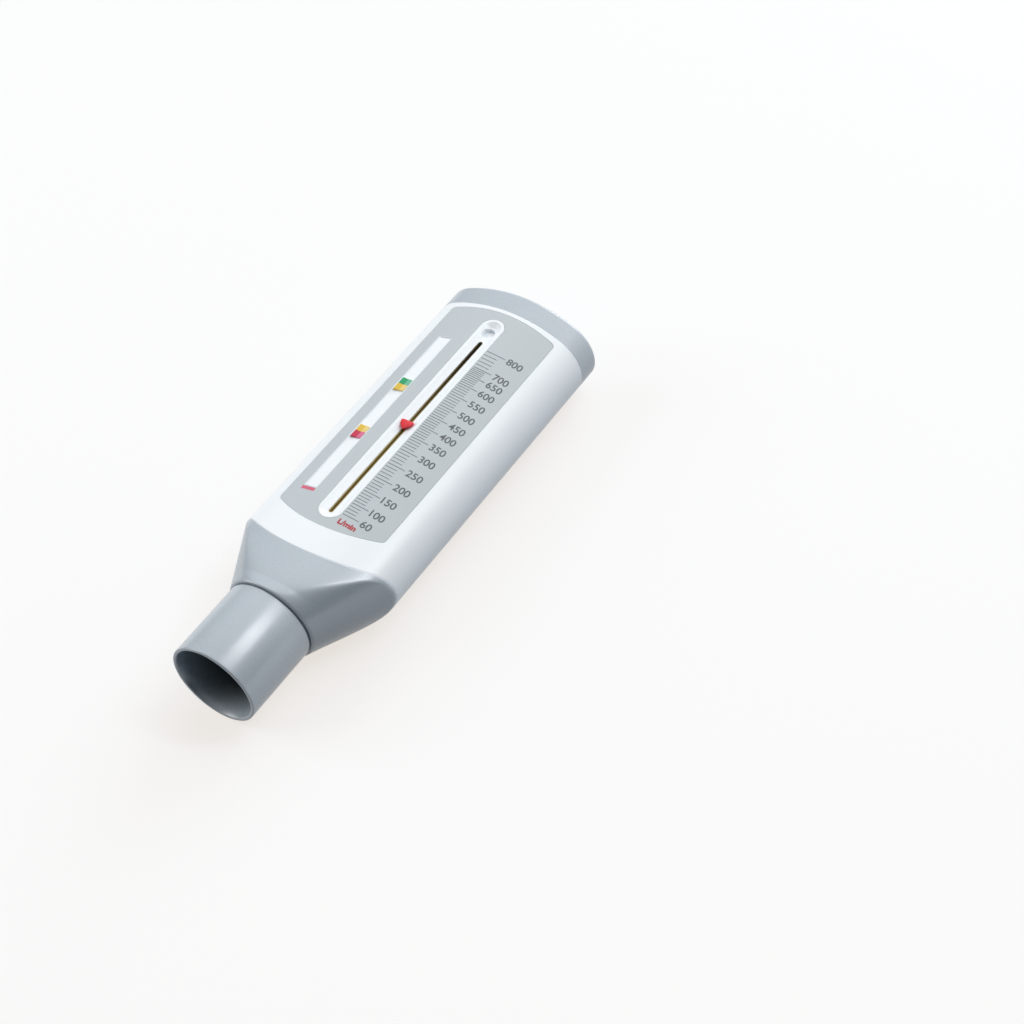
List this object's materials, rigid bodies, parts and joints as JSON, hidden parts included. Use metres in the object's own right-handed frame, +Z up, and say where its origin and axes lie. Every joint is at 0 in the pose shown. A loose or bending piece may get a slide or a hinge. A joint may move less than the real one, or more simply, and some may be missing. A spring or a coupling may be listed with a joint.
{
  "type": "peak flow meter",
  "caption": "Hand-held peak flow meter: round mouthpiece, tapered inlet, flat oval body with a curved flow scale, sliding pointer, sprung piston and adjustable zone markers.",
  "frame": {"origin": "centre of the footprint, on the surface that the meter lies on, with its scale up", "axes": "+X along the meter from the mouthpiece to the end cap, +Y across it towards the zone markers, +Z up out of the scale"},
  "size_m": [0.172, 0.0566, 0.0313],
  "materials": {
    "grey_moulding": "fine satin moulding",
    "white_moulding": "smooth, soft gloss",
    "scale_print": "matt printed plate",
    "brown_acetal": "smooth",
    "white_acetal": "satin",
    "dark_bush": "satin",
    "black_rubber": "matt",
    "steel": "fine drawn",
    "red_pointer": "smooth",
    "green_marker": "smooth",
    "yellow_marker": "smooth",
    "red_marker": "smooth"
  },
  "bodies": {
    "case": {"body_sleeve": "white_moulding", "slot_liner": "brown_acetal", "inlet_adapter": "grey_moulding", "scale_plate": "scale_print", "end_cap": "grey_moulding", "barrel_seal": "black_rubber", "measuring_barrel": "brown_acetal", "front_spider": "white_acetal", "rear_spider": "white_acetal", "guide_rod": "steel", "rod_nut": "steel", "rest_buffer": "black_rubber", "end_buffer": "black_rubber", "return_spring": "steel"},
    "mouthpiece_tube": {"mouthpiece": "grey_moulding"},
    "piston_body": {"piston": "white_acetal", "piston_bush": "dark_bush"},
    "pointer_body": {"pointer": "red_pointer", "pointer_shoe": "red_pointer", "pointer_leaf": "steel"},
    "upper_marker": {"upper_marker_green": "green_marker", "upper_marker_yellow": "yellow_marker"},
    "lower_marker": {"lower_marker_yellow": "yellow_marker", "lower_marker_red": "red_marker"}
  },
  "joints": [
    {"name": "mouthpiece_pull", "type": "slide", "parent": "case", "child": "mouthpiece_tube", "axis": [-1, 0, 0], "range_m": [0, 0.04]},
    {"name": "piston_slide", "type": "slide", "parent": "case", "child": "piston_body", "axis": [1, 0, 0], "range_m": [0, 0.083], "stiffness_N_per_m": 4, "springref_m": -0.01, "deforming": ["return_spring"]},
    {"name": "pointer_slide", "type": "slide", "parent": "case", "child": "pointer_body", "axis": [1, 0, 0], "range_m": [-0.0391, 0.0407]},
    {"name": "upper_marker_slide", "type": "slide", "parent": "case", "child": "upper_marker", "axis": [1, 0, 0], "range_m": [-0.0088, 0.0215]},
    {"name": "lower_marker_slide", "type": "slide", "parent": "case", "child": "lower_marker", "axis": [1, 0, 0], "range_m": [-0.0233, 0.0088]}
  ]
}
